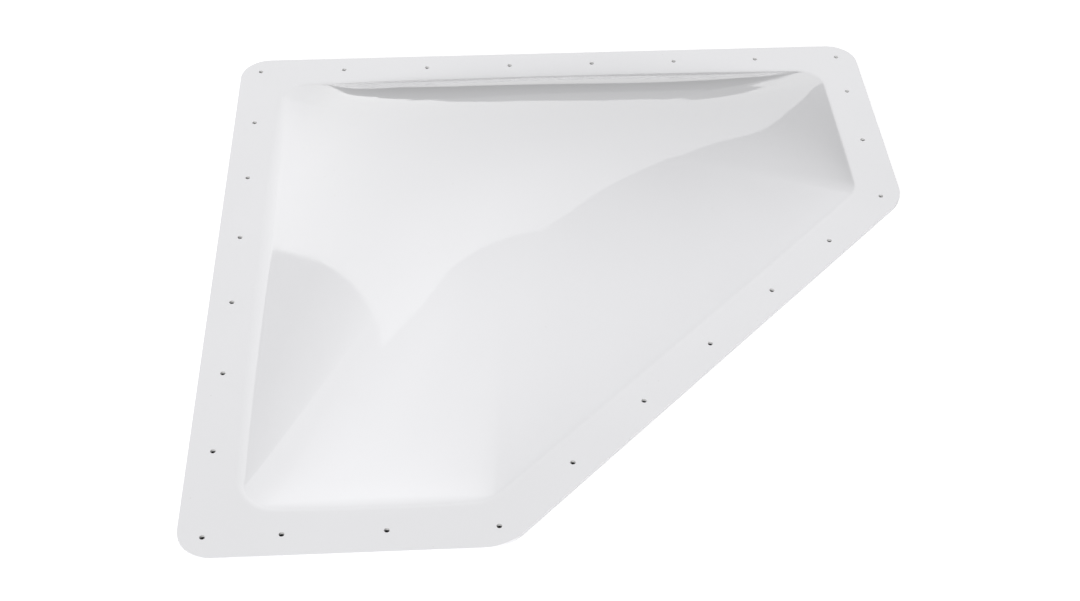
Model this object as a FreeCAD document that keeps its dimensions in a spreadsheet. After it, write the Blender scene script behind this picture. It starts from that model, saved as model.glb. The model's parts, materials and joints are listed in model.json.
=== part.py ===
"""Five-sided outer dome of a caravan shower skylight, on the sealing strips that bed it on the roof.

The dome is one formed plastic sheet: a flat flange drilled for screws all round, and inside it a
crown blown up by air. The strips lie under the flange along the line of the screw holes.

Frame, in millimetres: +Z is up, and the strips' undersides, which lie on the roof, are at Z = 0.
The origin is the middle of the plan's bounding square. The two long sides meet in the square corner
at -X +Y: the back side lies at +Y and the left side at -X. The short sides are the front at -Y and
the right at +X, and the diagonal joins them. The plan is the same on both sides of the line
through the square corner and the middle of the diagonal.
"""
import FreeCAD
import Part
import math
import os

import Sketcher
from FreeCAD import Vector

# Driving dimensions: name, millimetres, and what it measures.
SIZES = [
    ("plan_width", 711.2, "flange's long sides, measured to the sharp corners"),
    ("short_side", 279.4, "flange's short sides, measured to the sharp corners"),
    ("square_corner_radius", 32, "flange's three right-angled corners"),
    ("blunt_corner_radius", 45, "flange's two corners on the diagonal"),
    ("sheet_thickness", 3, "formed plastic sheet"),
    ("flange_width", 50.8, "from the flange's edge to the foot of the crown"),
    ("crown_rise", 92.2, "top of the crown above the flange"),
    ("foot_radius", 12, "bend from the flange up into the crown, on top of the sheet"),
    ("foot_corner_radius", 28, "corners of the crown's foot, seen from above"),
    ("hole_diameter", 4.8, "screw holes through flange and strips"),
    ("hole_setback", 22.2, "screw holes from the flange's edge on the four square sides"),
    ("diagonal_setback", 20, "screw holes from the flange's edge on the diagonal"),
    ("first_short_hole", 66.7, "first hole of a short side from its corner hole at the long side"),
    ("second_short_hole", 155.6, "second hole of a short side from the same corner hole"),
    ("diagonal_pitch", 99.4, "between the diagonal's inner holes, which are centred on it"),
    ("strip_width", 19, "sealing strip"),
    ("strip_thickness", 3.2, "sealing strip"),
]
# Screw holes between the corner holes.
LONG_SIDE_INNER_HOLES = 6
DIAGONAL_INNER_HOLES = 5

# The crown's form, without units: how sharply the pull of the sides is blended, how much lower
# than that blend the sheet lies half a plan width from the middle, and how soon above the foot the
# blend is followed, because along the foot the sheet has to be level.
SIDE_BLEND_POWER = 1.5
CROWN_FALL = 0.35
FOOT_LEVELLING = 4
# How finely the crown's net is drawn: steps along a side, the turn at a corner in radians for
# each step, rows from the bend to the top, and the degree of its curves.
SIDE_STEPS = 16
CORNER_STEP = math.radians(15)
CROWN_ROWS = 14
NET_DEGREE = 3
# Working values: millimetres within which two places are the same, millimetres over which the
# crown's slope is taken, the share of the way up where its slope at the foot is taken, and the
# rounds of the search for its top.
SAME_PLACE = 0.001
SLOPE_STEP = 1
FOOT_SHARE = 0.01
SEARCH_ROUNDS = 40

SIDES = ["back", "right", "diagonal", "front", "left"]
ROOT_TWO = math.sqrt(2)
OUTWARD = {
    "back": Vector(0, 1, 0),
    "right": Vector(1, 0, 0),
    "diagonal": Vector(1 / ROOT_TWO, -1 / ROOT_TWO, 0),
    "front": Vector(0, -1, 0),
    "left": Vector(-1, 0, 0),
}

doc = FreeCAD.newDocument("skylight")
sheet = doc.addObject("Spreadsheet::Sheet", "Sizes")


def fill_sheet():
    for row, (name, value, meaning) in enumerate(SIZES, start=1):
        sheet.set(f"A{row}", name)
        sheet.set(f"B{row}", str(value))
        sheet.set(f"C{row}", meaning)
        sheet.setAlias(f"B{row}", name)
    doc.recompute()


def size(name):
    return float(sheet.get(name))


def value(expression):
    return float(sheet.evalExpression(expression))


# Plan geometry, as expressions of the sheet's cells

def line_place(side, inset):
    """Where a side's line, moved inwards by inset, crosses the X or Y axis that it is square to."""
    if side == "diagonal":
        return f"(Sizes.short_side - sqrt(2) * ({inset}))"
    sign = "-" if side in ("front", "left") else ""
    return f"({sign}(Sizes.plan_width / 2 - ({inset})))"


def meet(side_a, inset_a, side_b, inset_b):
    """X and Y of the point where two neighbouring sides' lines meet, each moved inwards."""
    inset = {side_a: inset_a, side_b: inset_b}
    upright = [side for side in inset if side in ("left", "right")]
    level = [side for side in inset if side in ("front", "back")]
    x = line_place(upright[0], inset[upright[0]]) if upright else None
    y = line_place(level[0], inset[level[0]]) if level else None
    if x is None:
        x = f"({y} + {line_place('diagonal', inset['diagonal'])})"
    if y is None:
        y = f"({x} - {line_place('diagonal', inset['diagonal'])})"
    return x, y


def setback(side):
    return "Sizes.diagonal_setback" if side == "diagonal" else "Sizes.hole_setback"


def neighbour(side, step):
    return SIDES[(SIDES.index(side) + step) % len(SIDES)]


def corner_hole(side):
    """The hole in the corner where a side ends and the next one begins, going clockwise."""
    following = neighbour(side, 1)
    return meet(side, setback(side), following, setback(following))


def long_side_holes(side):
    """A long side's holes between its corner holes, evenly spaced."""
    start = corner_hole(neighbour(side, -1))
    end = corner_hole(side)
    gaps = LONG_SIDE_INNER_HOLES + 1
    return [
        tuple(f"{a} + ({b} - {a}) * {gap} / {gaps}" for a, b in zip(start, end))
        for gap in range(1, gaps)
    ]


def short_side_holes(side):
    """A short side's two holes between its corner holes."""
    steps = ("Sizes.first_short_hole", "Sizes.second_short_hole")
    if side == "right":
        x, y = corner_hole("back")
        return [(x, f"{y} - {step}") for step in steps]
    x, y = corner_hole("front")
    return [(f"{x} + {step}", y) for step in steps]


def diagonal_holes():
    """The diagonal's inner holes, evenly spaced about its middle."""
    middle = f"{line_place('diagonal', setback('diagonal'))} / 2"
    steps = [place - (DIAGONAL_INNER_HOLES - 1) / 2 for place in range(DIAGONAL_INNER_HOLES)]
    along = [f"({step}) * Sizes.diagonal_pitch / sqrt(2)" for step in steps]
    return [(f"{middle} + {step}", f"-({middle}) + {step}") for step in along]


def side_holes(side):
    """All holes that a side's strip carries: its own and the one at the corner where it ends."""
    if side == "diagonal":
        own = diagonal_holes()
    elif side in ("back", "left"):
        own = long_side_holes(side)
    else:
        own = short_side_holes(side)
    return own + [corner_hole(side)]


# Sketches and features

def new_sketch(body, name):
    sketch = body.newObject("Sketcher::SketchObject", name)
    plane = [item for item in body.Origin.OriginFeatures if item.Role == "XY_Plane"][0]
    sketch.AttachmentSupport = [(plane, "")]
    sketch.MapMode = "FlatFace"
    return sketch


def hold_point(sketch, geometry, point, place):
    """Ties a point of the sketch's geometry to X and Y expressions."""
    for kind, expression in zip(("DistanceX", "DistanceY"), place):
        constraint = Sketcher.Constraint(kind, -1, 1, geometry, point, value(expression))
        index = sketch.addConstraint(constraint)
        sketch.setExpression(f"Constraints[{index}]", expression)


def polygon_sketch(body, name, corners):
    sketch = new_sketch(body, name)
    points = [Vector(value(x), value(y), 0) for x, y in corners]
    last = len(points) - 1
    for index, point in enumerate(points):
        following = points[0] if index == last else points[index + 1]
        sketch.addGeometry(Part.LineSegment(point, following))
    for index, place in enumerate(corners):
        following = 0 if index == last else index + 1
        sketch.addConstraint(Sketcher.Constraint("Coincident", index, 2, following, 1))
        hold_point(sketch, index, 1, place)
    return sketch


def pad(body, sketch, length):
    feature = body.newObject("PartDesign::Pad", sketch.Name + "Pad")
    feature.Profile = sketch
    feature.setExpression("Length", length)
    doc.recompute()


def drill(body, holes, name, thickness):
    """Drills the screw holes through a body of this thickness, and makes sure that each one cut it."""
    sketch = new_sketch(body, name)
    upward = Vector(0, 0, 1)
    for x, y in holes:
        centre = Vector(value(x), value(y), 0)
        circle = Part.Circle(centre, upward, size("hole_diameter") / 2)
        index = sketch.addGeometry(circle)
        hold_point(sketch, index, 3, (x, y))
        diameter = sketch.addConstraint(Sketcher.Constraint("Diameter", index, circle.Radius * 2))
        sketch.setExpression(f"Constraints[{diameter}]", "Sizes.hole_diameter")
    doc.recompute()
    volume_before = body.Shape.Volume
    pocket = body.newObject("PartDesign::Pocket", name + "Pocket")
    pocket.Profile = sketch
    pocket.Type = "ThroughAll"
    pocket.Midplane = True
    doc.recompute()
    removed = volume_before - body.Shape.Volume
    hole_volume = math.pi * (size("hole_diameter") / 2) ** 2 * thickness
    expected = len(holes) * hole_volume
    if abs(removed - expected) > hole_volume / 2:
        raise ValueError(f"{name} cut {removed:.1f} mm3, not {expected:.1f}")


def upright_edges(shape, corners):
    """Names of the shape's edges that stand upright at these corners of the plan."""
    places = [Vector(value(x), value(y), 0) for x, y in corners]
    names = []
    for index, edge in enumerate(shape.Edges, start=1):
        ends = [Vector(vertex.X, vertex.Y, 0) for vertex in edge.Vertexes]
        if any(all(end.isEqual(place, SAME_PLACE) for end in ends) for place in places):
            names.append(f"Edge{index}")
    return names


def round_corners(body, name, corners, radius):
    sharp = body.Tip
    feature = body.newObject("PartDesign::Fillet", name)
    feature.Base = (sharp, upright_edges(sharp.Shape, corners))
    feature.setExpression("Radius", radius)
    doc.recompute()


# Sealing strips

def make_strip(side):
    """One straight strip. It starts against the strip before it, and ends at the corner."""
    body = doc.addObject("PartDesign::Body", f"Strip{side.capitalize()}")
    body.Label = f"seal_strip_{side}"
    before = neighbour(side, -1)
    after = neighbour(side, 1)
    outer = {name: f"{setback(name)} - Sizes.strip_width / 2" for name in SIDES}
    inner = {name: f"{setback(name)} + Sizes.strip_width / 2" for name in SIDES}
    corners = [
        meet(side, outer[side], before, inner[before]),
        meet(side, outer[side], after, outer[after]),
        meet(side, inner[side], after, outer[after]),
        meet(side, inner[side], before, inner[before]),
    ]
    pad(body, polygon_sketch(body, f"StripPlan{side.capitalize()}", corners), "Sizes.strip_thickness")
    drill(body, side_holes(side), f"StripHoles{side.capitalize()}", size("strip_thickness"))
    return body


# Formed sheet

def make_flange_plate():
    """The flat sheet with its rounded corners, before the crown is blown."""
    body = doc.addObject("PartDesign::Body", "FlangePlate")
    corners = [meet(side, "0", neighbour(side, 1), "0") for side in SIDES]
    blunt = [corners[SIDES.index("right")], corners[SIDES.index("diagonal")]]
    square = [corner for corner in corners if corner not in blunt]
    pad(body, polygon_sketch(body, "FlangePlan", corners), "Sizes.sheet_thickness")
    round_corners(body, "SquareCorners", square, "Sizes.square_corner_radius")
    round_corners(body, "BluntCorners", blunt, "Sizes.blunt_corner_radius")
    return body


def side_reach(side, inset):
    """How far a side's line, moved inwards by inset, lies from the middle of the plan."""
    outer = size("short_side") / ROOT_TWO if side == "diagonal" else size("plan_width") / 2
    return outer - inset


def foot_corner(side):
    """Centre of the rounded corner of the crown's foot where a side ends."""
    following = neighbour(side, 1)
    inset = "Sizes.flange_width + Sizes.foot_corner_radius"
    x, y = meet(side, inset, following, inset)
    return Vector(value(x), value(y), 0)


def foot_outline():
    """Points round the foot of the crown, going clockwise, each with its outward direction."""
    radius = size("foot_corner_radius")
    outline = []
    for side in SIDES:
        outward = OUTWARD[side]
        following = OUTWARD[neighbour(side, 1)]
        start = foot_corner(neighbour(side, -1)) + outward * radius
        end = foot_corner(side) + outward * radius
        for step in range(1, SIDE_STEPS):
            outline.append((start + (end - start) * (step / SIDE_STEPS), outward))
        turn = outward.getAngle(following)
        steps = round(turn / CORNER_STEP)
        for step in range(steps + 1):
            angle = turn * step / steps
            direction = FreeCAD.Rotation(Vector(0, 0, 1), -math.degrees(angle)).multVec(outward)
            outline.append((foot_corner(side) + direction * radius, direction))
    return outline


def side_pull(point):
    """The blended distance to the sides, which is highest where all sides are far away."""
    softness = size("foot_corner_radius") / 2
    total = 0
    for side in SIDES:
        distance = side_reach(side, size("flange_width")) - OUTWARD[side].dot(point)
        total += (distance + softness) ** -SIDE_BLEND_POWER
    return total ** (-1 / SIDE_BLEND_POWER)


def blown_form(point):
    """The blown sheet's form, nought at the middle of the back side, not yet at its real rise."""
    half = size("plan_width") / 2
    foot = Vector(0, side_reach("back", size("flange_width")), 0)
    fall = CROWN_FALL * (point.x ** 2 + point.y ** 2) / half ** 2
    return (side_pull(point) - side_pull(foot)) * (1 - fall)


def find_top():
    """The highest point of the form, on the line through the square corner, halving the search."""
    along = Vector(-1 / ROOT_TWO, 1 / ROOT_TWO, 0)
    low, high = 0, size("plan_width") / 2
    for _ in range(SEARCH_ROUNDS):
        third = (high - low) / 3
        if blown_form(along * (low + third)) > blown_form(along * (high - third)):
            high -= third
        else:
            low += third
    return along * low


class Crown:
    """The top of the blown sheet above the flange, at its real rise."""

    def __init__(self):
        self.top = find_top()
        self.scale = size("crown_rise") / blown_form(self.top)

    def height(self, point, foot, share):
        """Height at a point that lies this share of the way from its foot point to the top."""
        left_over = blown_form(foot) * (1 - share) ** FOOT_LEVELLING
        return (blown_form(point) - left_over) * self.scale

    def upright(self, point):
        """The direction square to the sheet."""
        step_x = Vector(SLOPE_STEP, 0, 0)
        step_y = Vector(0, SLOPE_STEP, 0)
        scale = self.scale / (2 * SLOPE_STEP)
        slope_x = scale * (blown_form(point + step_x) - blown_form(point - step_x))
        slope_y = scale * (blown_form(point + step_y) - blown_form(point - step_y))
        return Vector(-slope_x, -slope_y, 1).normalize()

    def foot_slope(self, foot, outward):
        """How steeply the sheet would leave the flange if the bend were sharp, as an angle."""
        step = (self.top - foot) * FOOT_SHARE
        return math.atan2(self.height(foot + step, foot, FOOT_SHARE), -step.dot(outward))

    def section(self, foot, outward):
        """Points, each with its upright, from the flange over the bend and up to the top."""
        slope = self.foot_slope(foot, outward)
        tangent = size("foot_radius") * math.tan(slope / 2)
        upward = Vector(0, 0, 1)
        along = -outward * math.cos(slope) + upward * math.sin(slope)
        square = outward * math.sin(slope) + upward * math.cos(slope)
        points = [
            (foot + outward * tangent, upward),
            (foot + outward * (tangent / 3), upward),
            (foot + along * (tangent / 3), square),
            (foot + along * tangent, square),
        ]
        start = foot - outward * (tangent * math.cos(slope))
        for row in range(1, CROWN_ROWS):
            share = row / CROWN_ROWS
            place = start + (self.top - start) * share
            points.append((place + upward * self.height(place, foot, share), self.upright(place)))
        # level close round the top, so that the sheet has no peak there
        crest = self.top + upward * size("crown_rise")
        beside = (start - self.top) / (3 * CROWN_ROWS)
        return points + [(crest + beside, upward), (crest, upward)]


def net_face(net):
    """A smooth face on a net of points: closed round the foot, and drawn together at the top."""
    around = len(net)
    spans = len(net[0]) - NET_DEGREE
    end_knot = NET_DEGREE + 1
    surface = Part.BSplineSurface()
    surface.buildFromPolesMultsKnots(
        net,
        umults=[1] * (around + 1),
        vmults=[end_knot] + [1] * (spans - 1) + [end_knot],
        uknots=list(range(around + 1)),
        vknots=list(range(spans + 1)),
        uperiodic=True,
        vperiodic=False,
        udegree=NET_DEGREE,
        vdegree=NET_DEGREE,
    )
    return surface.toShape()


def make_crown():
    """The blown part of the sheet with the bend at its foot, and the opening it stands in."""
    thickness = size("sheet_thickness")
    flange_top = Vector(0, 0, thickness)
    crown = Crown()
    sections = [crown.section(foot, outward) for foot, outward in foot_outline()]
    top_net = [[flange_top + point for point, _ in section] for section in sections]
    under_net = [
        [flange_top + point - upright * thickness for point, upright in section]
        for section in sections
    ]
    top = net_face(top_net)
    # the longest of its edges is the one round the foot
    foot_edge = max(top.Edges, key=lambda edge: edge.Length)
    shell = Part.makeShell([top, foot_edge.extrude(-flange_top), net_face(under_net)])
    shell.sewShape()
    blown = doc.addObject("Part::Feature", "BlownSheet")
    blown.Shape = Part.makeSolid(shell)
    opening = doc.addObject("Part::Feature", "CrownOpening")
    opening.Shape = Part.Face(Part.Wire(foot_edge)).extrude(-flange_top)
    return blown, opening


def make_outer_dome():
    """Flange and crown in one sheet, with a rounded bend between them, drilled for the screws."""
    blown, opening = make_crown()
    ring = doc.addObject("Part::Cut", "FlangeRing")
    ring.Base = make_flange_plate()
    ring.Tool = opening
    formed = doc.addObject("Part::MultiFuse", "FormedSheet")
    formed.Shapes = [ring, blown]
    doc.recompute()

    body = doc.addObject("PartDesign::Body", "OuterDome")
    body.Label = "outer_dome"
    body.BaseFeature = formed
    body.setExpression(".Placement.Base.z", "Sizes.strip_thickness")
    doc.recompute()
    holes = [hole for side in SIDES for hole in side_holes(side)]
    drill(body, holes, "FlangeHoles", size("sheet_thickness"))
    return body


# Model

fill_sheet()
pieces = [make_outer_dome()] + [make_strip(side) for side in SIDES]
doc.recompute()

for item in doc.Objects:
    if "Invalid" in item.State or "Error" in item.State:
        raise ValueError(f"{item.Name} did not build: {item.State}")
for piece in pieces:
    if piece.Shape.isNull() or not piece.Shape.isValid() or len(piece.Shape.Solids) != 1:
        raise ValueError(f"{piece.Label} is not one valid solid")

os.makedirs("parts", exist_ok=True)
for piece in pieces:
    piece.Shape.exportStep(f"parts/{piece.Label}.step")
    box = piece.Shape.BoundBox
    print(f"{piece.Label}: {box.XLength:.1f} x {box.YLength:.1f} x {box.ZLength:.1f} mm, "
          f"{piece.Shape.Volume / 1000:.1f} cm3")
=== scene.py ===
"""Looks of the five-sided caravan skylight: one blown opal sheet on strips of black sealing tape.

It is laid out as an add-on and run as a script. The frame is loaded first, and each operator then
models one piece or group of like pieces in metres, in the frame's own place. The plan is a square
with one corner cut off: the long sides are the back at +Y and the left at -X, the short sides the
front at -Y and the right at +X, and the diagonal joins those two.
"""
import json
import math

import bmesh
import bpy
from bpy.props import FloatProperty, FloatVectorProperty, IntProperty, PointerProperty
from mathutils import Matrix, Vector


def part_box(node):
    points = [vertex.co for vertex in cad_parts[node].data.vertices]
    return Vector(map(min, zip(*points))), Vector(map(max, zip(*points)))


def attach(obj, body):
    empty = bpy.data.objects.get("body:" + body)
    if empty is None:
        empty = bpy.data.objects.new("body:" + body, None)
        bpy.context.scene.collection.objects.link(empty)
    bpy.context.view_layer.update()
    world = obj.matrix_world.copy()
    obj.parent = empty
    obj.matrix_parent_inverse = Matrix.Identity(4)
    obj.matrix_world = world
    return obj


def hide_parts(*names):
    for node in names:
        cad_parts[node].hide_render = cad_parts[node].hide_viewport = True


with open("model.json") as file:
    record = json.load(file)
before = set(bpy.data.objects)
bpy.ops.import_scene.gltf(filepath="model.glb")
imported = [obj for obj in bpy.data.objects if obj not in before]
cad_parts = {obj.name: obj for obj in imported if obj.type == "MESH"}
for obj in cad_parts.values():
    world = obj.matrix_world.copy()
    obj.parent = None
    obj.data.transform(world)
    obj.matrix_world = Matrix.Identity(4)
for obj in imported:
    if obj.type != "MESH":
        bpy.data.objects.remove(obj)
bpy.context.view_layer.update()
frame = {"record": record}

bl_info = {
    "name": "Caravan skylight",
    "version": (1, 0, 0),
    "blender": (4, 5, 0),
    "location": "3D View > Sidebar > Skylight",
    "description": "Models the five-sided blown dome of a caravan shower skylight",
    "category": "Object",
}

DOME_LOW, DOME_HIGH = (Vector(corner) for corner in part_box("outer_dome"))
STRIP_LOW, STRIP_HIGH = (Vector(corner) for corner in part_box("seal_strip_back"))
MOUNTS = {mount["name"]: mount for mount in frame["record"]["mounts"]}

MM = 0.001
# two places closer than this are the same
NEAR = MM / 10
ROOT_TWO = math.sqrt(2)
SIDES = ["back", "right", "diagonal", "front", "left"]
OUTWARD = {
    "back": Vector((0, 1, 0)),
    "right": Vector((1, 0, 0)),
    "diagonal": Vector((1 / ROOT_TWO, -1 / ROOT_TWO, 0)),
    "front": Vector((0, -1, 0)),
    "left": Vector((-1, 0, 0)),
}
BLUNT_CORNERS = {("right", "diagonal"), ("diagonal", "front")}
# how far a blunt corner's rounding starts from its sharp corner, as a share of the radius
BLUNT_BACK_OFF = math.tan(math.radians(22.5))
UP = Vector((0, 0, 1))


# Sizes and finishes that a user would change

class SkylightSizes(bpy.types.PropertyGroup):
    plan_width: FloatProperty(
        name="Plan width", description="Long sides of the flange, to the sharp corners",
        default=DOME_HIGH.x - DOME_LOW.x, unit="LENGTH")
    short_side: FloatProperty(
        name="Short side", description="Short sides of the flange, to the sharp corners",
        default=0.2794, unit="LENGTH")
    flange_width: FloatProperty(
        name="Flange width", description="From the flange's edge to the foot of the crown",
        default=0.0508, unit="LENGTH")
    back_trim: FloatProperty(
        name="Back trim", description="How much narrower the flange is trimmed at the back",
        default=0.0025, unit="LENGTH")
    right_trim: FloatProperty(
        name="Right trim", description="How much narrower the flange is trimmed on the right",
        default=0.005, unit="LENGTH")
    diagonal_trim: FloatProperty(
        name="Diagonal trim", description="How much narrower the flange is trimmed on the diagonal",
        default=0.006, unit="LENGTH")
    sheet_thickness: FloatProperty(
        name="Sheet thickness", description="Thickness of the formed sheet",
        default=0.003, unit="LENGTH")
    square_corner: FloatProperty(
        name="Square corners", description="Radius of the flange's right-angled corners",
        default=0.032, unit="LENGTH")
    blunt_corner: FloatProperty(
        name="Blunt corners", description="Radius of the flange's corners on the diagonal",
        default=0.045, unit="LENGTH")
    crisp_bend: FloatProperty(
        name="Crisp bend", description="Radius of the crown's bend on the right and the diagonal",
        default=0.010, unit="LENGTH")
    soft_bend: FloatProperty(
        name="Soft bend", description="Radius of the crown's bend on the other three sides",
        default=0.026, unit="LENGTH")
    foot_corner: FloatProperty(
        name="Foot corners", description="Radius of the crown's foot seen from above",
        default=0.028, unit="LENGTH")
    edge_break: FloatProperty(
        name="Edge break", description="Scraped bevel along the sheet's edges and holes",
        default=0.0003, unit="LENGTH")
    strip_width: FloatProperty(
        name="Tape width", description="Width of the sealing tape", default=0.019, unit="LENGTH")
    side_steps: IntProperty(
        name="Side steps", description="Faces along each side of the plan", default=54)
    corner_steps: IntProperty(
        name="Corner steps", description="Faces round each corner of the plan", default=12)
    bend_steps: IntProperty(
        name="Bend steps", description="Faces across the bend at the foot", default=9)
    crown_rows: IntProperty(
        name="Crown rows", description="Rows of faces from the bend to the top", default=64)


class SkylightFinish(bpy.types.PropertyGroup):
    opal: FloatVectorProperty(
        name="Opal sheet", description="Colour of the opal white sheet",
        subtype="COLOR", size=3, default=(0.7985, 0.7985, 0.8155))
    tape: FloatVectorProperty(
        name="Sealing tape", description="Colour of the black butyl tape",
        subtype="COLOR", size=3, default=(0.022, 0.022, 0.024))
    # painted shade: the hole walls' colour is set darker than the sheet's, for the shade inside the
    # holes
    painted_hole_shade: FloatVectorProperty(
        name="Drilled walls", description="Colour of the opal sheet inside the drilled holes",
        subtype="COLOR", size=3, default=(0.66, 0.66, 0.655))
    haze: FloatProperty(
        name="Haze", description="Roughness of the glossy sheet", default=0.035, subtype="FACTOR")
    # painted light: how much lighter the flange's colour is painted than the crown's
    flange_painted_light: FloatProperty(
        name="Painted light on flange", description="Colour of the unstretched flange against the crown's",
        default=1.016)


class SkylightStudio(bpy.types.PropertyGroup):
    fill: FloatProperty(
        name="Fill", description="Even light from all round", default=0.382)
    key_strength: FloatProperty(
        name="Key", description="Strength of the large soft lamp in front", default=2.68)
    key_spread: FloatProperty(
        name="Key spread", description="How wide the soft lamp is, seen from the object",
        default=math.radians(38), subtype="ANGLE")
    backdrop_glow: FloatProperty(
        name="Backdrop", description="Brightness of the bright backdrop in reflections",
        default=1.77)
    dark_glow: FloatProperty(
        name="Dark surround", description="Brightness of the dark studio in reflections",
        default=0.45)
    floor_glow: FloatProperty(
        name="Dark floor", description="Brightness of the floor in reflections", default=0.3)
    sheet_glow: FloatProperty(
        name="Pale strip", description="Brightness of the strip beside the flange in reflections",
        default=0.95)


# Plan of the skylight

def neighbour(side, step):
    """The side that lies that many steps further round."""
    return SIDES[(SIDES.index(side) + step) % len(SIDES)]


def reach(sizes, side, inset):
    """How far a side's line, moved inwards by inset, lies from the middle of the plan."""
    outer = sizes.short_side / ROOT_TWO if side == "diagonal" else sizes.plan_width / 2
    return outer - inset


def foot_inset(sizes, side):
    """The flange's width on a side: the sheet is trimmed closer to the crown on some."""
    trim = {"back": sizes.back_trim, "right": sizes.right_trim, "diagonal": sizes.diagonal_trim}
    return sizes.flange_width - trim.get(side, 0)


def crossing(side_a, reach_a, side_b, reach_b):
    """Where two sides' lines meet."""
    a, b = OUTWARD[side_a], OUTWARD[side_b]
    turn = a.x * b.y - a.y * b.x
    return Vector((
        (reach_a * b.y - reach_b * a.y) / turn, (a.x * reach_b - b.x * reach_a) / turn, 0))


def foot_below(sizes, point):
    """The nearest place on the crown's foot line, and the outward direction there."""
    radius = sizes.foot_corner
    for side in SIDES:
        following = neighbour(side, 1)
        centre = crossing(side, reach(sizes, side, foot_inset(sizes, side) + radius),
                          following, reach(sizes, following, foot_inset(sizes, following) + radius))
        beyond = Vector((point.x, point.y, 0)) - centre
        first, second = OUTWARD[side], OUTWARD[following]
        past_side = first.cross(beyond).z <= 0
        before_next = second.cross(beyond).z >= 0
        if past_side and before_next and beyond.dot(first + second) > 0:
            outward = beyond.normalized()
            return centre + outward * radius, outward
    side = max(SIDES, key=lambda name: OUTWARD[name].dot(point)
               - reach(sizes, name, foot_inset(sizes, name)))
    outward = OUTWARD[side]
    slide = point - outward * (outward.dot(point) - reach(sizes, side, foot_inset(sizes, side)))
    return Vector((slide.x, slide.y, 0)), outward


class Crown:
    """The blown sheet above the flange: the form of the frame's solid, lower near one corner."""

    # how sharply the pull of the sides is blended, how much lower than that blend the sheet lies
    # half a plan width from the middle, and how soon above the foot the blend is followed
    blend_power = 1.5
    fall = 0.35
    levelling = 4
    # share of the way to the top over which the slope at the foot is measured
    foot_share = 0.01
    search_rounds = 60
    # share of its height that the sheet loses at the back's left corner, and how far that reaches
    corner_loss = 0.42
    corner_reach = 70 * MM
    # how soon the crown's rows forget the small step between bend and crown
    step_fading = 8

    def __init__(self, sizes):
        self.sizes = sizes
        self.soft_corner = crossing("back", reach(sizes, "back", foot_inset(sizes, "back")),
                                    "left", reach(sizes, "left", foot_inset(sizes, "left")))
        self.softness = sizes.foot_corner / 2
        self.rise = DOME_HIGH.z - DOME_LOW.z - sizes.sheet_thickness
        self.foot_pull = self.pull(OUTWARD["back"] * reach(sizes, "back", sizes.flange_width))
        self.top = self.find_top()
        self.scale = self.rise / self.form(self.top)

    def pull(self, point):
        """How far the nearest sides, blended into one, lie from the point."""
        total = 0
        for side in SIDES:
            away = (reach(self.sizes, side, foot_inset(self.sizes, side))
                    - OUTWARD[side].dot(point))
            total += (away + self.softness) ** -self.blend_power
        return total ** (-1 / self.blend_power)

    def form(self, point):
        """The crown's form before it is scaled to its rise."""
        half = self.sizes.plan_width / 2
        fall = self.fall * (point.x ** 2 + point.y ** 2) / half ** 2
        return (self.pull(point) - self.foot_pull) * (1 - fall)

    def find_top(self):
        """The highest place on the line from the diagonal's middle to the square corner."""
        along = Vector((-1 / ROOT_TWO, 1 / ROOT_TWO, 0))
        low, high = 0.0, self.sizes.plan_width / 2
        for _ in range(self.search_rounds):
            third = (high - low) / 3
            if self.form(along * (low + third)) > self.form(along * (high - third)):
                high -= third
            else:
                low += third
        return along * low

    def height(self, point, foot, share):
        """Height above the flange at a share of the way from the foot to the top."""
        left_over = self.form(foot) * (1 - share) ** self.levelling
        away = math.hypot(point.x - self.soft_corner.x, point.y - self.soft_corner.y)
        kept = 1 - self.corner_loss * math.exp(-(away / self.corner_reach) ** 2)
        return (self.form(point) - left_over) * self.scale * kept

    def bend_radius(self, outward):
        """Crisp on the right and the diagonal, soft on the other sides, blended at the corners."""
        between = (OUTWARD["right"] + OUTWARD["diagonal"]).normalized()
        full = between.dot(OUTWARD["right"])
        none = between.dot(OUTWARD["front"])
        crisp = min(1, max(0, (between.dot(outward) - none) / (full - none)))
        crisp = crisp * crisp * (3 - 2 * crisp)
        return self.sizes.soft_bend + crisp * (self.sizes.crisp_bend - self.sizes.soft_bend)

    def section(self, foot, outward):
        """Places from the bend's start up to the top, one for each ring of the mesh."""
        sizes = self.sizes
        radius = self.bend_radius(outward)
        step = (self.top - foot) * self.foot_share
        slope = math.atan2(self.height(foot + step, foot, self.foot_share), -step.dot(outward))
        tangent = radius * math.tan(slope / 2)
        places = []
        for turn in range(sizes.bend_steps + 1):
            angle = slope * turn / sizes.bend_steps
            across = tangent - radius * math.sin(angle)
            rise = radius * (1 - math.cos(angle))
            places.append(foot + outward * across + UP * rise)
        start = foot - outward * (tangent * math.cos(slope))
        gap = tangent * math.sin(slope) - self.height(start, foot, 0)
        for row in range(1, sizes.crown_rows):
            share = row / sizes.crown_rows
            place = start + (self.top - start) * share
            rise = self.height(place, foot, share) + gap * (1 - share) ** self.step_fading
            places.append(place + UP * rise)
        return places


def screw_places():
    """The middles of all screw holes, from the frame's bolt patterns."""
    places = []
    for mount in MOUNTS.values():
        if mount["kind"] != "bolt_pattern":
            continue
        middle = Vector(mount["pos_m"])
        dims = mount["dims"]
        if "pcd_mm" in dims:
            spread = Vector((1, 1, 0)).normalized() * dims["pcd_mm"] * MM / 2
        else:
            spread = Vector((dims.get("spacing_x_mm", 0), dims.get("spacing_y_mm", 0), 0)) * MM / 2
        for place in (middle + spread, middle - spread):
            if all((place - other).length > MM for other in places):
                places.append(place)
    return places


# Modelling helpers

def start_piece():
    """Leaves edit mode and deselects everything, the frame's nodes too."""
    if bpy.context.object and bpy.context.object.mode != "OBJECT":
        bpy.ops.object.mode_set(mode="OBJECT")
    bpy.ops.object.select_all(action="DESELECT")


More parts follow.
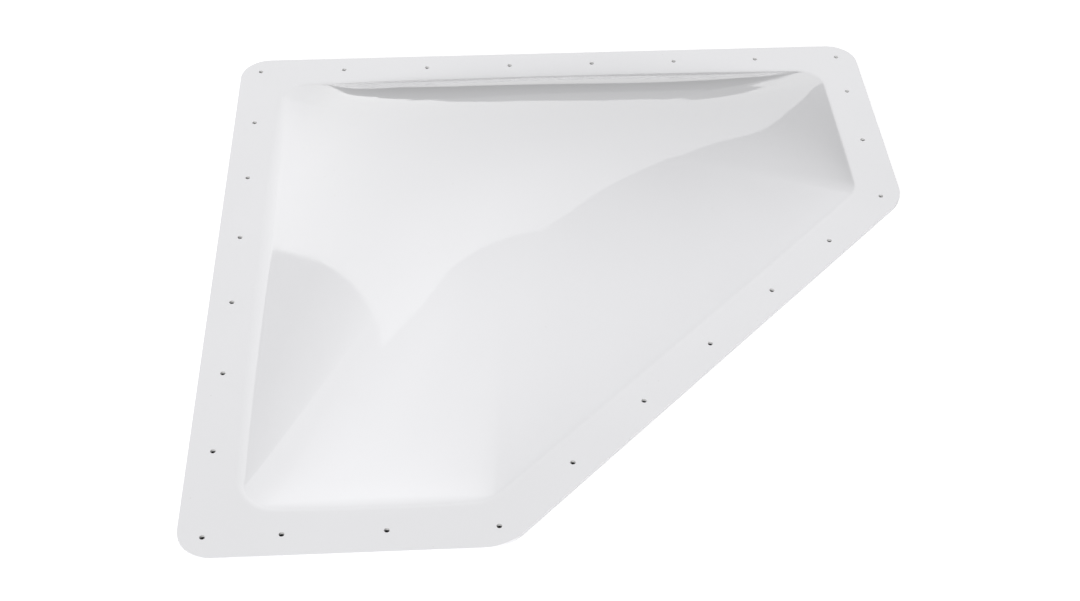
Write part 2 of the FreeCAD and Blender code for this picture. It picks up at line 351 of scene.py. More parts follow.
def choose(kind, test):
    """In edit mode, selects the vertices, edges or faces that pass the test, and only those."""
    bpy.context.tool_settings.mesh_select_mode = (kind == "VERT", kind == "EDGE", kind == "FACE")
    bpy.ops.mesh.select_all(action="DESELECT")
    shape = bmesh.from_edit_mesh(bpy.context.object.data)
    items = {"VERT": shape.verts, "EDGE": shape.edges, "FACE": shape.faces}[kind]
    chosen = [item for item in items if test(item)]
    for item in chosen:
        item.select_set(True)
    shape.select_flush_mode()
    bmesh.update_edit_mesh(bpy.context.object.data)
    if not chosen:
        raise RuntimeError(f"no {kind.lower()} to select")
    return len(chosen)


def apply_modifier(kind, name, **settings):
    """Adds a modifier to the active object and applies it."""
    modifier = bpy.context.object.modifiers.new(name, kind)
    for key, value in settings.items():
        setattr(modifier, key, value)
    bpy.ops.object.modifier_apply(modifier=name)


def finish_piece(name, node, angle):
    """Names the active object, smooths it, and puts it in the place of its CAD node."""
    piece = bpy.context.object
    piece.name = name
    piece.data.name = name
    bpy.ops.object.transform_apply(location=True, rotation=True, scale=True)
    bpy.ops.object.shade_smooth_by_angle(angle=math.radians(angle))
    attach(piece, "root")
    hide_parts(node)
    return piece


# how far the drills reach past the piece, and the faces round each
DRILL_PAST = 2 * MM
DRILL_FACES = 28
# faces within this distance of a hole's axis, with a normal no steeper than this, are its wall
WALL_REACH = 2.6 * MM
WALL_NORMAL_RISE = 0.3


def add_drill(low, high):
    """One object of all the drills that the screw holes are cut with."""
    start_piece()
    parts = []
    for place in screw_places():
        bpy.ops.mesh.primitive_cylinder_add(
            vertices=DRILL_FACES, radius=MOUNTS["back_screws_1"]["dims"]["hole_r_mm"] * MM,
            depth=high - low, location=(place.x, place.y, (high + low) / 2))
        parts.append(bpy.context.object)
    for part in parts:
        part.select_set(True)
    bpy.ops.object.join()
    drill = bpy.context.object
    drill.name = "drill"
    bpy.ops.object.transform_apply(location=True, rotation=True, scale=True)
    return drill


def drill_holes(piece, low, high):
    """Cuts all screw holes through a piece that lies between the two heights."""
    drill = add_drill(low - DRILL_PAST, high + DRILL_PAST)
    start_piece()
    piece.select_set(True)
    bpy.context.view_layer.objects.active = piece
    apply_modifier("BOOLEAN", "Screw holes", operation="DIFFERENCE", object=drill, solver="EXACT")
    bpy.data.objects.remove(drill)


def in_drilled_wall(face, holes):
    """Whether the face belongs to the wall of one of the holes."""
    near = any(math.hypot(face.center.x - hole.x, face.center.y - hole.y) < WALL_REACH
               for hole in holes)
    return near and abs(face.normal.z) < WALL_NORMAL_RISE


# Dome

def add_plan_loop(sizes, inset, square_radius, blunt_radius, height):
    """Adds the plan's closed outline as edges, with evenly divided sides and rounded corners."""
    width = 2 * reach(sizes, "back", inset)
    bpy.ops.mesh.primitive_plane_add(size=width, location=(0, 0, height))
    cut = OUTWARD["diagonal"] * reach(sizes, "diagonal", inset)
    bpy.ops.mesh.bisect(
        plane_co=(cut.x, cut.y, height), plane_no=OUTWARD["diagonal"], clear_outer=True)
    for radius, blunt in ((square_radius, False), (blunt_radius, True)):
        corners = [
            crossing(side, reach(sizes, side, inset), neighbour(side, 1),
                     reach(sizes, neighbour(side, 1), inset))
            for side in SIDES if ((side, neighbour(side, 1)) in BLUNT_CORNERS) == blunt
        ]
        choose("VERT", lambda vertex: any(
            (Vector((vertex.co.x, vertex.co.y, 0)) - corner).length < NEAR for corner in corners))
        back_off = radius * (BLUNT_BACK_OFF if blunt else 1)
        bpy.ops.mesh.bevel(
            offset_type="OFFSET", offset=back_off, segments=sizes.corner_steps, profile=0.5,
            affect="VERTICES")
    choose("FACE", lambda face: abs(face.calc_center_median().z - height) < NEAR
           and len(face.verts) == len(SIDES) * (1 + sizes.corner_steps))
    bpy.ops.mesh.delete(type="ONLY_FACE")
    straight = sizes.short_side / 3
    choose("EDGE", lambda edge: edge.calc_length() > straight and not edge.link_faces)
    bpy.ops.mesh.subdivide(number_cuts=sizes.side_steps - 1)


class SKYLIGHT_OT_dome(bpy.types.Operator):
    """Models the formed sheet: drilled flange, bend and blown crown"""
    bl_idname = "skylight.dome"
    bl_label = "Opal dome"

    # the sheet's material slots for its cut edge and its holes
    sawn_slot, drilled_slot = 1, 2
    # how far outside the foot line the flange's flat inner ring lies
    flat_margin = 13 * MM
    # no edge of the flange's faces is longer than this many flange widths, unless they are askew
    longest_edge = 1.5

    def execute(self, context):
        sizes = context.scene.skylight_sizes
        start_piece()
        bpy.ops.mesh.primitive_plane_add(size=1)
        bpy.ops.object.mode_set(mode="EDIT")
        bpy.ops.mesh.select_all(action="SELECT")
        bpy.ops.mesh.delete(type="VERT")
        flange_top = DOME_LOW.z + sizes.sheet_thickness
        self.add_flange(sizes, flange_top)
        self.raise_crown(sizes, flange_top)
        bpy.ops.mesh.select_all(action="SELECT")
        bpy.ops.mesh.remove_doubles(threshold=MM / 100)
        bpy.ops.mesh.normals_make_consistent(inside=False)
        shape = bmesh.from_edit_mesh(context.object.data)
        if sum(face.normal.z for face in shape.faces) < 0:
            bpy.ops.mesh.flip_normals()
        bpy.ops.object.mode_set(mode="OBJECT")
        dome = context.object
        opal_finish(context, dome)
        apply_modifier("SOLIDIFY", "Sheet", thickness=sizes.sheet_thickness, offset=-1,
                       use_even_offset=True, use_quality_normals=True,
                       material_offset_rim=self.sawn_slot)
        drill_holes(dome, DOME_LOW.z, flange_top)
        holes = screw_places()
        for face in dome.data.polygons:
            if in_drilled_wall(face, holes):
                face.material_index = self.drilled_slot
        apply_modifier("BEVEL", "Scraped edges", width=sizes.edge_break, segments=2,
                       limit_method="ANGLE", angle_limit=math.radians(50))
        finish_piece("opal_dome", "outer_dome", angle=30)
        # the wide flat faces of the flange lead the narrow ones beside them
        apply_modifier("WEIGHTED_NORMAL", "Flat flange", mode="FACE_AREA", weight=50,
                       keep_sharp=True)
        return {"FINISHED"}

    def add_flange(self, sizes, flange_top):
        """The flat ring between the outer edge and the start of the bend."""
        margin = self.flat_margin
        inner = sizes.flange_width - margin
        radius = sizes.foot_corner + margin
        add_plan_loop(sizes, 0, sizes.square_corner, sizes.blunt_corner, flange_top)
        add_plan_loop(sizes, inner, radius, radius, flange_top)
        bpy.ops.mesh.select_all(action="SELECT")
        bpy.ops.mesh.bridge_edge_loops()
        shape = bmesh.from_edit_mesh(bpy.context.object.data)
        longest = max(edge.calc_length() for edge in shape.edges)
        if longest > sizes.flange_width * self.longest_edge:
            raise RuntimeError(f"the flange's faces are askew: {longest:.3f} m")

    def raise_crown(self, sizes, flange_top):
        """Extrudes the inner edge ring by ring over the bend and up to the top."""
        crown = Crown(sizes)
        # a line on the flange, outside the ring that the crown starts from
        inner = sizes.flange_width - self.flat_margin * 1.5
        count = choose("EDGE", lambda edge: edge.is_boundary and all(
            max(OUTWARD[side].dot(end.co) - reach(sizes, side, inner) for side in SIDES) < 0
            for end in edge.verts))
        if count != len(SIDES) * (sizes.side_steps + sizes.corner_steps):
            raise RuntimeError(f"the foot ring has {count} edges")
        base = UP * flange_top
        shape = bmesh.from_edit_mesh(bpy.context.object.data)
        sections = []
        for vertex in shape.verts:
            if vertex.select:
                foot, outward = foot_below(sizes, vertex.co)
                vertex.co = base + foot + outward * self.flat_margin
                sections.append((vertex.co.copy(), crown.section(foot, outward)))
        bmesh.update_edit_mesh(bpy.context.object.data)
        keys = {self.key(start): number for number, (start, _) in enumerate(sections)}
        for ring in range(len(sections[0][1])):
            bpy.ops.mesh.extrude_region()
            shape = bmesh.from_edit_mesh(bpy.context.object.data)
            moved = {}
            for vertex in shape.verts:
                if vertex.select:
                    number = keys[self.key(vertex.co)]
                    vertex.co = base + sections[number][1][ring]
                    moved[self.key(vertex.co)] = number
            keys = moved
        bpy.ops.mesh.extrude_region()
        bpy.ops.mesh.merge(type="CENTER")
        shape = bmesh.from_edit_mesh(bpy.context.object.data)
        for vertex in shape.verts:
            if vertex.select:
                vertex.co = base + crown.top + UP * crown.rise
        bmesh.update_edit_mesh(bpy.context.object.data)

    @staticmethod
    def key(place):
        """The place to a thousandth of a millimetre, to find the same vertex again."""
        return tuple(round(value / MM, 3) for value in place)


# Sealing tape

class SKYLIGHT_OT_tapes(bpy.types.Operator):
    """Models the five strips of sealing tape under the flange, butted at the corners"""
    bl_idname = "skylight.tapes"
    bl_label = "Sealing tapes"

    # how far the long edges are rounded, as a share of the thickness, and the faces' length
    edge_rounding = 0.36
    face_length = 5 * MM
    # how far the pressed sides draw in at most, the two waves that this follows in radians for
    # each metre, and how the waves are shifted from side to side and against each other
    wander = 0.7 * MM
    waves = (61, 173)
    side_shift = 1.7
    wave_shift = 2.3

    def execute(self, context):
        for side in SIDES:
            self.add_tape(context, side)
        return {"FINISHED"}

    def middle_reach(self, side):
        """How far the side's row of screws lies from the middle of the plan."""
        name = "diagonal_screws_outer" if side == "diagonal" else f"{side}_screws_corners"
        mount = MOUNTS.get(name) or MOUNTS[f"{side}_screws_1"]
        return OUTWARD[side].dot(Vector(mount["pos_m"]))

    def draw_in(self, tape, side, half):
        """The pressed tape's sides wander a little, but it never passes the solid's width."""
        shape = bmesh.from_edit_mesh(tape.data)
        shift = SIDES.index(side) * self.side_shift
        first, second = self.waves
        for vertex in shape.verts:
            x, y = vertex.co.x, vertex.co.y
            share = (0.5 + 0.25 * math.sin(x * first + shift)
                     + 0.25 * math.sin(x * second + self.wave_shift * shift))
            if abs(y) > half / 2:
                vertex.co.y -= math.copysign(self.wander * share, y)
        bmesh.update_edit_mesh(tape.data)

    def add_tape(self, context, side):
        """Models the strip along the X axis, puts it in its place and cuts its ends."""
        half = context.scene.skylight_sizes.strip_width / 2
        thick = STRIP_HIGH.z - STRIP_LOW.z
        outward = OUTWARD[side]
        before, after = neighbour(side, -1), neighbour(side, 1)
        row = self.middle_reach(side)
        start = crossing(side, row, before, self.middle_reach(before) - half)
        end = crossing(side, row, after, self.middle_reach(after) + half)
        length = (end - start).length + 4 * half
        start_piece()
        bpy.ops.mesh.primitive_cube_add(size=1)
        tape = context.object
        tape.scale = (length, 2 * half, thick)
        bpy.ops.object.transform_apply(location=True, rotation=True, scale=True)
        bpy.ops.object.mode_set(mode="EDIT")
        choose("EDGE", lambda edge: abs(edge.verts[0].co.x - edge.verts[1].co.x) > half)
        bpy.ops.mesh.bevel(
            offset=thick * self.edge_rounding, segments=4, profile=0.5, affect="EDGES")
        choose("EDGE", lambda edge: abs(edge.verts[0].co.x - edge.verts[1].co.x) > half)
        bpy.ops.mesh.subdivide(number_cuts=int(length / self.face_length))
        self.draw_in(tape, side, half)
        bpy.ops.object.mode_set(mode="OBJECT")
        middle = (start + end) / 2
        tape.location = (middle.x, middle.y, STRIP_LOW.z + thick / 2)
        tape.rotation_euler = (0, 0, math.atan2(outward.y, outward.x) - math.pi / 2)
        bpy.ops.object.transform_apply(location=True, rotation=True, scale=True)
        bpy.ops.object.mode_set(mode="EDIT")
        for other, past_row in ((before, -half), (after, half)):
            bpy.ops.mesh.select_all(action="SELECT")
            bpy.ops.mesh.bisect(
                plane_co=OUTWARD[other] * (self.middle_reach(other) + past_row),
                plane_no=OUTWARD[other], use_fill=True, clear_outer=True)
        bpy.ops.object.mode_set(mode="OBJECT")
        tape_finish(context, tape)
        drill_holes(tape, STRIP_LOW.z, STRIP_HIGH.z)
        finish_piece(f"tape_{side}", f"seal_strip_{side}", angle=35)


# Nodes

def new_material(name):
    material = bpy.data.materials.new(name)
    material.use_nodes = True
    tree = material.node_tree
    tree.nodes.clear()
    output = tree.nodes.new("ShaderNodeOutputMaterial")
    return material, tree, output


def link(tree, source, target):
    tree.links.new(source, target)


def set_input(tree, target, value):
    """Links the input where the value is a socket, and sets it where it isn't."""
    if hasattr(value, "links"):
        link(tree, value, target)
    else:
        target.default_value = value


def object_place(tree):
    return tree.nodes.new("ShaderNodeTexCoord").outputs["Object"]


def split_place(tree):
    """The object coordinates as X, Y and Z."""
    node = tree.nodes.new("ShaderNodeSeparateXYZ")
    link(tree, object_place(tree), node.inputs["Vector"])
    return node.outputs


def stretched(tree, place, scale, turn=0.0):
    node = tree.nodes.new("ShaderNodeMapping")
    node.inputs["Rotation"].default_value = (0, 0, turn)
    node.inputs["Scale"].default_value = scale
    link(tree, place, node.inputs["Vector"])
    return node.outputs["Vector"]


def noise(tree, place, scale, detail):
    node = tree.nodes.new("ShaderNodeTexNoise")
    set_input(tree, node.inputs["Scale"], scale)
    node.inputs["Detail"].default_value = detail
    link(tree, place, node.inputs["Vector"])
    return node.outputs["Fac"]


def remap(tree, source, low=0, high=1, to_low=0, to_high=1, soft=False):
    """Runs from to_low to to_high as the source runs from low to high, and stays between them."""
    node = tree.nodes.new("ShaderNodeMapRange")
    if soft:
        node.interpolation_type = "SMOOTHSTEP"
    for socket, value in (("From Min", low), ("From Max", high),
                          ("To Min", to_low), ("To Max", to_high)):
        node.inputs[socket].default_value = value
    link(tree, source, node.inputs["Value"])
    return node.outputs["Result"]


def combine(tree, operation, a, b):
    node = tree.nodes.new("ShaderNodeMath")
    node.operation = operation
    for target, value in zip(node.inputs, (a, b)):
        set_input(tree, target, value)
    return node.outputs["Value"]


def mix_colours(tree, factor, first, second):
    node = tree.nodes.new("ShaderNodeMix")
    node.data_type = "RGBA"
    targets = [socket for socket in node.inputs if socket.type == "RGBA"]
    for target, colour in zip(targets, (first, second)):
        set_input(tree, target, colour if hasattr(colour, "links") else (*colour, 1))
    link(tree, factor, node.inputs["Factor"])
    return [socket for socket in node.outputs if socket.type == "RGBA"][0]


def add_surface(tree, output, colour, roughness, relief, relief_depth):
    """Adds the material's shader, with its colour, its roughness and its fine relief in metres."""
    shader = tree.nodes.new("ShaderNodeBsdfPrincipled")
    link(tree, shader.outputs["BSDF"], output.inputs["Surface"])
    link(tree, colour, shader.inputs["Base Color"])
    link(tree, roughness, shader.inputs["Roughness"])
    bump = tree.nodes.new("ShaderNodeBump")
    bump.inputs["Strength"].default_value = 1
    bump.inputs["Distance"].default_value = relief_depth
    link(tree, relief, bump.inputs["Height"])
    link(tree, bump.outputs["Normal"], shader.inputs["Normal"])
    return shader


def sheet_detail_group():
    """Shared detail of formed plastic: draw-down waves, orange peel, hairlines and dust."""
    name = "Formed sheet detail"
    if name in bpy.data.node_groups:
        return bpy.data.node_groups[name]
    tree = bpy.data.node_groups.new(name, "ShaderNodeTree")
    for title, value in (("Peel scale", 260), ("Hairlines", 0.5), ("Dust", 0.25)):
        socket = tree.interface.new_socket(
            name=title, in_out="INPUT", socket_type="NodeSocketFloat")
        socket.default_value = value
    for title in ("Tone", "Haze", "Specks", "Relief"):
        tree.interface.new_socket(name=title, in_out="OUTPUT", socket_type="NodeSocketFloat")
    start = tree.nodes.new("NodeGroupInput")
    end = tree.nodes.new("NodeGroupOutput")
    place = object_place(tree)

    # the stretched sheet is thinner in soft patches, which lets its tone drift
    patches = noise(tree, place, scale=5.5, detail=2)
    link(tree, remap(tree, patches, 0.3, 0.7), end.inputs["Tone"])

    # hairline scratches lie along two directions, in broken runs
    runs = []
    for turn in (0.5, 2.1):
        across = stretched(tree, place, (9, 900, 9), turn)
        runs.append(remap(tree, noise(tree, across, scale=1, detail=1), 0.70, 0.74))
    hairlines = combine(tree, "MAXIMUM", *runs)
    broken = remap(tree, noise(tree, place, scale=14, detail=2), 0.52, 0.66)
    hairlines = combine(tree, "MULTIPLY", hairlines, broken)
    hairlines = combine(tree, "MULTIPLY", hairlines, start.outputs["Hairlines"])

    # dust lies in single specks, here and there
    specks = tree.nodes.new("ShaderNodeTexVoronoi")
    specks.inputs["Scale"].default_value = 95
    link(tree, place, specks.inputs["Vector"])
    dots = remap(tree, specks.outputs["Distance"], 0.035, 0.075, 1, 0)
    sparse = remap(tree, noise(tree, place, scale=31, detail=1), 0.60, 0.64)
    dots = combine(tree, "MULTIPLY", dots, sparse)
    dots = combine(tree, "MULTIPLY", dots, start.outputs["Dust"])
    link(tree, dots, end.inputs["Specks"])

    # a thin film of handling marks dulls the gloss, and so do scratches and dust
    film = remap(tree, noise(tree, place, scale=23, detail=4), 0.35, 0.75)
    film = combine(tree, "MULTIPLY", film, 0.14)
    haze = combine(tree, "ADD", film, combine(tree, "MAXIMUM", hairlines, dots))
    link(tree, haze, end.inputs["Haze"])

    # slow waves, with fine orange peel on them and the scratches cut in
    peel = noise(tree, place, scale=start.outputs["Peel scale"], detail=1)
    relief = combine(tree, "ADD", combine(tree, "MULTIPLY", peel, 0.02),
                     noise(tree, place, scale=26, detail=1))
    relief = combine(tree, "ADD", relief, combine(tree, "MULTIPLY", hairlines, -0.004))
    link(tree, relief, end.inputs["Relief"])
    return tree


# Finishes

ACRYLIC_IOR = 1.49
DUST_COLOUR = (0.45, 0.43, 0.40)
# how far the sheet's tone drifts, and how much rougher its dullest places are
TONE_DRIFT = 0.01
HAZE_RANGE = 0.2
# the flange is painted lighter up to the first height, and the crown keeps its colour from the
# second: painted light for the light that the thick flange sends back where the thin crown shows
# shade from the dark shaft under it, on top of the thicker sheet's own slightly whiter tone
PAINTED_LIGHT_UP_TO = 6.4 * MM
PLAIN_FROM = 16 * MM


def opal_finish(context, piece):
    """Glossy opal sheet, with sawn outer edges and drilled holes of their own."""
    finish = context.scene.skylight_finish
    opal = Vector(finish.opal)
    for material in (glossy_opal(finish, opal), sawn_edge_painted_glow(opal), drilled_wall_painted_shade(finish)):
        piece.data.materials.append(material)


def glossy_opal(finish, opal):
    """The sheet's faces: glossy, with fine wear, and painted a little lighter on the flange:
    painted light, beside the thicker sheet's own whiter tone.
    """
    material, tree, output = new_material("Opal sheet")
    detail = tree.nodes.new("ShaderNodeGroup")
    detail.node_tree = sheet_detail_group()
    tone = mix_colours(
        tree, detail.outputs["Tone"], opal * (1 - TONE_DRIFT), opal * (1 + TONE_DRIFT))
    dusty = mix_colours(tree, detail.outputs["Specks"], tone, DUST_COLOUR)
    # painted light: the flange's colour is scaled up against the crown's
    painted_lighter = tree.nodes.new("ShaderNodeVectorMath")
    painted_lighter.operation = "SCALE"
    link(tree, dusty, painted_lighter.inputs["Vector"])
    share = remap(tree, split_place(tree)["Z"], PAINTED_LIGHT_UP_TO, PLAIN_FROM, finish.flange_painted_light, 1)
    link(tree, share, painted_lighter.inputs["Scale"])
    roughness = remap(tree, detail.outputs["Haze"],
                      to_low=finish.haze, to_high=finish.haze + HAZE_RANGE)
    shader = add_surface(tree, output, painted_lighter.outputs["Vector"], roughness,
                         detail.outputs["Relief"], relief_depth=0.03 * MM)
    shader.inputs["IOR"].default_value = ACRYLIC_IOR
    return material


def sawn_edge_painted_glow(opal):
    """The sheet's cut edge: rough, with fine upright saw marks, and painted paler than the sheet:
    painted light for the light that the opal sheet carries out at its edge, on top of the frosted
    cut's own paler tone.
    """
    material, tree, output = new_material("Sawn edge with painted glow")
    upright = stretched(tree, object_place(tree), (1400, 1400, 160))
    marks = noise(tree, upright, scale=1, detail=2)
    # painted light: the cut edge's colour is raised well above the sheet's
    shader = add_surface(
        tree, output, mix_colours(tree, marks, opal * 1.12, opal * 1.21),
        remap(tree, marks, to_low=0.4, to_high=0.65), marks, relief_depth=0.06 * MM)
    shader.inputs["IOR"].default_value = ACRYLIC_IOR
    return material


def drilled_wall_painted_shade(finish):
    """Inside the holes: the opal sheet, roughened in rings by the drill, its colour painted darker
    than the sheet's as shade in the holes.
    """
    material, tree, output = new_material("Drilled wall with painted shade")
    place = object_place(tree)
    smear = noise(tree, place, scale=700, detail=3)
    # painted shade: the walls inside the holes are coloured darker than the sheet
    painted_hole_shade = Vector(finish.painted_hole_shade)
    rings = tree.nodes.new("ShaderNodeTexWave")
    rings.bands_direction = "Z"
    rings.inputs["Scale"].default_value = 900
    rings.inputs["Distortion"].default_value = 2
    link(tree, place, rings.inputs["Vector"])
    add_surface(
        tree, output, mix_colours(tree, smear, painted_hole_shade * 0.85, painted_hole_shade * 1.1),
        remap(tree, smear, to_low=0.45, to_high=0.7), rings.outputs["Fac"],
        relief_depth=0.04 * MM)
    return material


def tape_finish(context, piece):
    """Black butyl: matt, a little lumpy, with a dusty bloom."""
    name = "Butyl tape"
    material = bpy.data.materials.get(name)
    if material is None:
        black = Vector(context.scene.skylight_finish.tape)
        material, tree, output = new_material(name)
        place = object_place(tree)
        bloom = noise(tree, place, scale=34, detail=5)
        add_surface(
            tree, output,
            mix_colours(tree, remap(tree, bloom, 0.45, 0.8), black, black * 2.6),
            remap(tree, bloom, to_low=0.5, to_high=0.75),
            noise(tree, place, scale=160, detail=4), relief_depth=0.3 * MM)
    piece.data.materials.append(material)


# Stage

def glow_material(name, strength=1.0):
    """A card's material, which only glows."""
    material, tree, output = new_material(name)
    glow = tree.nodes.new("ShaderNodeEmission")
    glow.inputs["Strength"].default_value = strength
    link(tree, glow.outputs["Emission"], output.inputs["Surface"])
    return material, tree, glow


# where across the backdrop it has dimmed, as a share of its distance, and what is left there
BACKDROP_DIMMED_AT = 0.62
BACKDROP_DIMMED_TO = 0.8


def backdrop_material(studio, far):
    """The lit backdrop: a little dimmer towards its right end."""
    material, tree, glow = glow_material("Backdrop card")
    level = remap(tree, split_place(tree)["X"], 0, far * BACKDROP_DIMMED_AT,
                  studio.backdrop_glow, studio.backdrop_glow * BACKDROP_DIMMED_TO)
    link(tree, level, glow.inputs["Strength"])
    return material


# Soft patches of the studio round the object. Each has its middle's azimuth, clockwise from the
# back as seen from above, and elevation, both in degrees; the cosines of the angles from that
# middle at which its edge begins and is passed; and its share of the dark surround's glow.
SURROUND_PATCHES = (
    (60, 32, 0.78, 0.92, 0.42),
    (-56, 24, 0.92, 0.98, 0.45),
    (-62, 66, 0.90, 0.97, 1.7),
)


def surround_material(studio):
    """The studio round the object, with softly darker and paler patches."""
    material, tree, glow = glow_material("Dark card")
    direction = tree.nodes.new("ShaderNodeVectorMath")
    direction.operation = "NORMALIZE"
    link(tree, object_place(tree), direction.inputs[0])
    level = studio.dark_glow
    for azimuth, elevation, outside, inside, share in SURROUND_PATCHES:
        turn, lift = math.radians(azimuth), math.radians(elevation)
        near = tree.nodes.new("ShaderNodeVectorMath")
        near.operation = "DOT_PRODUCT"
        near.inputs[1].default_value = (
            math.sin(turn) * math.cos(lift), math.cos(turn) * math.cos(lift), math.sin(lift))
        link(tree, direction.outputs["Vector"], near.inputs[0])
        patch = remap(tree, near.outputs["Value"], outside, inside, 1, share, soft=True)
        level = combine(tree, "MULTIPLY", level, patch)
    link(tree, level, glow.inputs["Strength"])
    return material


def seen_in_gloss_only(item):
    """Leaves nothing of the card but its reflections."""
    item.visible_camera = False
    item.visible_diffuse = False
    item.visible_shadow = False
    item.visible_transmission = False
    item.visible_volume_scatter = False


def shown_directly(tree):
    """1 for rays from the camera, off gloss and through glass, 0 for the light on the object."""
    path = tree.nodes.new("ShaderNodeLightPath")
    seen = combine(tree, "MAXIMUM", path.outputs["Is Camera Ray"], path.outputs["Is Glossy Ray"])
    return combine(tree, "MAXIMUM", seen, path.outputs["Is Transmission Ray"])


class SKYLIGHT_OT_stage(bpy.types.Operator):
    """Sets up the camera, the pale floor and the soft studio light"""
    bl_idname = "skylight.stage"
    bl_label = "Studio"

    # the camera's place, its turn in degrees and its lens in millimetres
    camera_place = (-0.097955, -1.162420, 1.072820)
    camera_turn = (46.0136, -0.3468, -3.0241)
    camera_lens = 52.366
    key_direction = Vector((-0.267, -0.753, 0.603))
    key_distance = 3.2
    floor_size = 60
    floor_grey = 0.86
    # what the floor adds where it is looked at, so that it is white but keeps the shadow
    floor_lift = 0.42
    # the bright backdrop behind: its distance, and its outline as shares of that distance
    backdrop_distance = 40.0
    backdrop_outline = (
        (-0.912, 0.0), (-0.12, 0.0), (-0.096, 0.045), (-0.057, 0.074), (-0.015, 0.101),
        (0.03, 0.113), (0.074, 0.132), (0.119, 0.149), (0.163, 0.158), (0.236, 0.146),
        (0.278, 0.163), (0.303, 0.15), (0.317, 0.115), (0.317, 0.085), (0.311, 0.058),
        (0.306, 0.0), (0.565, 0.0), (0.57, 0.15), (0.574, 0.277), (0.583, 0.31), (0.676, 0.515),
        (0.692, 0.597), (0.705, 0.678), (0.734, 0.828), (0.763, 1.016), (0.772, 1.225),
        (0.775, 1.507), (0.776, 1.906), (0.678, 2.25), (0.356, 2.215), (0.041, 2.205),
        (-0.255, 2.281), (-0.552, 2.675), (-0.94, 2.70), (-0.925, 0.6), (-0.912, 0.11),
    )
    # heights of the dark floor that the gloss shows, and of the pale sheet that lies on it
    ground_height = 0.2 * MM
    sheet_height = 0.4 * MM
    # outlines in metres of the pale sheet, which starts behind the object on the left, and of
    # the strip beside the back flange
    sheet_outline = (
        (-0.48, 0.517), (-0.288, 0.517), (-0.288, 0.70), (-0.292, 0.82), (-0.325, 1.0),
        (-0.36, 1.3), (-0.40, 1.75), (-0.45, 2.4), (-0.9, 5.0), (-3.6, 39.8), (-36.4, 39.8),
    )
    strip_outline = (
        (-0.18, 0.3557), (0.225, 0.3557), (0.2196, 0.3646), (0.188, 0.389), (0.162, 0.413),
        (0.135, 0.438), (0.105, 0.454), (0.074, 0.466), (0.040, 0.461), (0.006, 0.451),
        (-0.027, 0.441), (-0.060, 0.424), (-0.091, 0.410), (-0.121, 0.393), (-0.150, 0.374),
    )
    strip_height = DOME_LOW.z + 3 * MM
    surround_radius = 150.0

    def execute(self, context):
        studio = context.scene.skylight_studio
        self.add_camera(context)
        self.set_world(context, studio)
        self.add_floor(context)
        self.add_key(context, studio)
        self.add_reflections(context, studio)
        context.scene.view_settings.view_transform = "Standard"
        return {"FINISHED"}

    def add_camera(self, context):
        """Looks down on the object from the front, as the picture of it does."""
        start_piece()
        turn = [math.radians(angle) for angle in self.camera_turn]
        bpy.ops.object.camera_add(location=self.camera_place, rotation=turn)
        camera = context.object
        camera.name = "camera"
        camera.data.sensor_width = 36
        camera.data.lens = self.camera_lens
        camera.data.clip_start = 0.01
        camera.data.clip_end = 100
        context.scene.camera = camera

    def set_world(self, context, studio):
        """Even light from all round, which is white where it is looked at."""
        world = bpy.data.worlds.new("studio")
        world.use_nodes = True
        tree = world.node_tree
        tree.nodes.clear()
        output = tree.nodes.new("ShaderNodeOutputWorld")
        mix = tree.nodes.new("ShaderNodeMixShader")
        link(tree, shown_directly(tree), mix.inputs["Fac"])
        for target, strength in zip(mix.inputs[1:], (studio.fill, 1)):
            light = tree.nodes.new("ShaderNodeBackground")
            light.inputs["Color"].default_value = (1, 1, 1, 1)
            light.inputs["Strength"].default_value = strength
            link(tree, light.outputs["Background"], target)
        link(tree, mix.outputs["Shader"], output.inputs["Surface"])
        context.scene.world = world

    def add_floor(self, context):
        """A pale floor: white where it is looked at, still darkened by the object's shadow."""
        start_piece()
        bpy.ops.mesh.primitive_plane_add(size=self.floor_size, location=(0, 0, 0))
        floor = context.object
        floor.name = "floor"
        material, tree, output = new_material("Pale floor")
        lit = tree.nodes.new("ShaderNodeBsdfDiffuse")
        lit.inputs["Color"].default_value = (*[self.floor_grey] * 3, 1)
        glow = tree.nodes.new("ShaderNodeEmission")
        lift = combine(tree, "MULTIPLY", shown_directly(tree), self.floor_lift)
        link(tree, lift, glow.inputs["Strength"])
        both = tree.nodes.new("ShaderNodeAddShader")
        link(tree, lit.outputs["BSDF"], both.inputs[0])
        link(tree, glow.outputs["Emission"], both.inputs[1])
        link(tree, both.outputs["Shader"], output.inputs["Surface"])
        floor.data.materials.append(material)

    def add_key(self, context, studio):
        """One wide soft lamp in front, high on the left."""
        start_piece()
        place = self.key_direction.normalized() * self.key_distance
        turn = self.key_direction.to_track_quat("Z", "Y").to_euler()
        bpy.ops.object.light_add(type="SUN", location=place, rotation=turn)
        key = context.object
        key.name = "key_light"
        key.data.energy = studio.key_strength
        key.data.angle = studio.key_spread

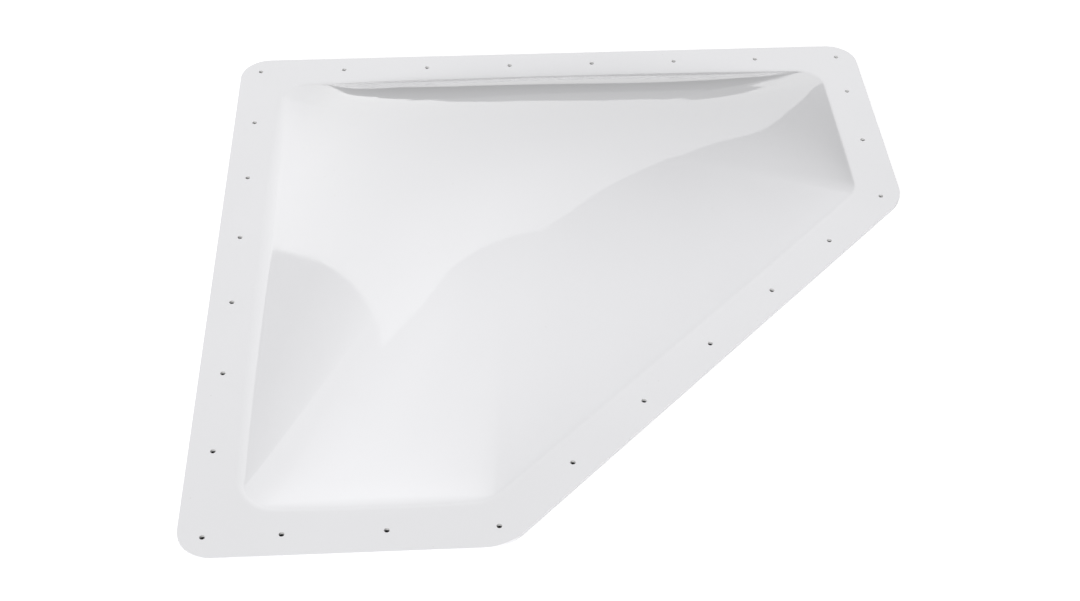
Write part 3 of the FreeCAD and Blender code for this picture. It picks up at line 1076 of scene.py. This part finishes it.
    def add_reflections(self, context, studio):
        """Cards that only the gloss shows: the bright backdrop in a dark studio."""
        far = self.backdrop_distance
        bright = backdrop_material(studio, far)
        pale, _, _ = glow_material("Pale sheet", studio.sheet_glow)
        dark, _, _ = glow_material("Dark floor", studio.floor_glow)
        cards = [
            self.add_card("backdrop_card", [
                (across * far, far, up * far) for across, up in self.backdrop_outline], bright),
            self.add_card("sheet_card", [
                (x, y, self.sheet_height) for x, y in self.sheet_outline], bright),
            self.add_card("strip_card", [
                (x, y, self.strip_height) for x, y in self.strip_outline], pale),
        ]
        start_piece()
        bpy.ops.mesh.primitive_uv_sphere_add(
            segments=48, ring_count=24, radius=self.surround_radius, location=(0, 0, 0))
        surround = context.object
        surround.name = "surround_card"
        surround.data.materials.append(surround_material(studio))
        start_piece()
        bpy.ops.mesh.primitive_plane_add(
            size=2 * self.surround_radius, location=(0, 0, self.ground_height))
        ground = context.object
        ground.name = "floor_card"
        ground.data.materials.append(dark)
        for item in cards + [surround, ground]:
            seen_in_gloss_only(item)

    def add_card(self, name, places, material):
        """A flat card whose outline goes through the places."""
        start_piece()
        bpy.ops.mesh.primitive_circle_add(vertices=len(places), radius=1, fill_type="NGON")
        card = bpy.context.object
        card.name = name
        bpy.ops.object.mode_set(mode="EDIT")
        shape = bmesh.from_edit_mesh(card.data)
        for corner, place in zip(shape.verts, places):
            corner.co = place
        bmesh.update_edit_mesh(card.data)
        bpy.ops.object.mode_set(mode="OBJECT")
        card.data.materials.append(material)
        return card


class SKYLIGHT_PT_panel(bpy.types.Panel):
    """Lists the skylight's pieces and the studio"""
    bl_idname = "SKYLIGHT_PT_panel"
    bl_label = "Caravan skylight"
    bl_space_type = "VIEW_3D"
    bl_region_type = "UI"
    bl_category = "Skylight"

    def draw(self, context):
        column = self.layout.column()
        for operator in (SKYLIGHT_OT_dome, SKYLIGHT_OT_tapes, SKYLIGHT_OT_stage):
            column.operator(operator.bl_idname)
        for group in ("skylight_sizes", "skylight_finish", "skylight_studio"):
            settings = getattr(context.scene, group)
            for name in settings.__annotations__:
                column.prop(settings, name)


CLASSES = (
    SkylightSizes, SkylightFinish, SkylightStudio,
    SKYLIGHT_OT_dome, SKYLIGHT_OT_tapes, SKYLIGHT_OT_stage, SKYLIGHT_PT_panel,
)


def register():
    for item in CLASSES:
        bpy.utils.register_class(item)
    bpy.types.Scene.skylight_sizes = PointerProperty(type=SkylightSizes)
    bpy.types.Scene.skylight_finish = PointerProperty(type=SkylightFinish)
    bpy.types.Scene.skylight_studio = PointerProperty(type=SkylightStudio)


def unregister():
    del bpy.types.Scene.skylight_studio
    del bpy.types.Scene.skylight_finish
    del bpy.types.Scene.skylight_sizes
    for item in reversed(CLASSES):
        bpy.utils.unregister_class(item)


def main():
    register()
    bpy.ops.skylight.dome()
    bpy.ops.skylight.tapes()
    bpy.ops.skylight.stage()


if __name__ == "__main__":
    main()
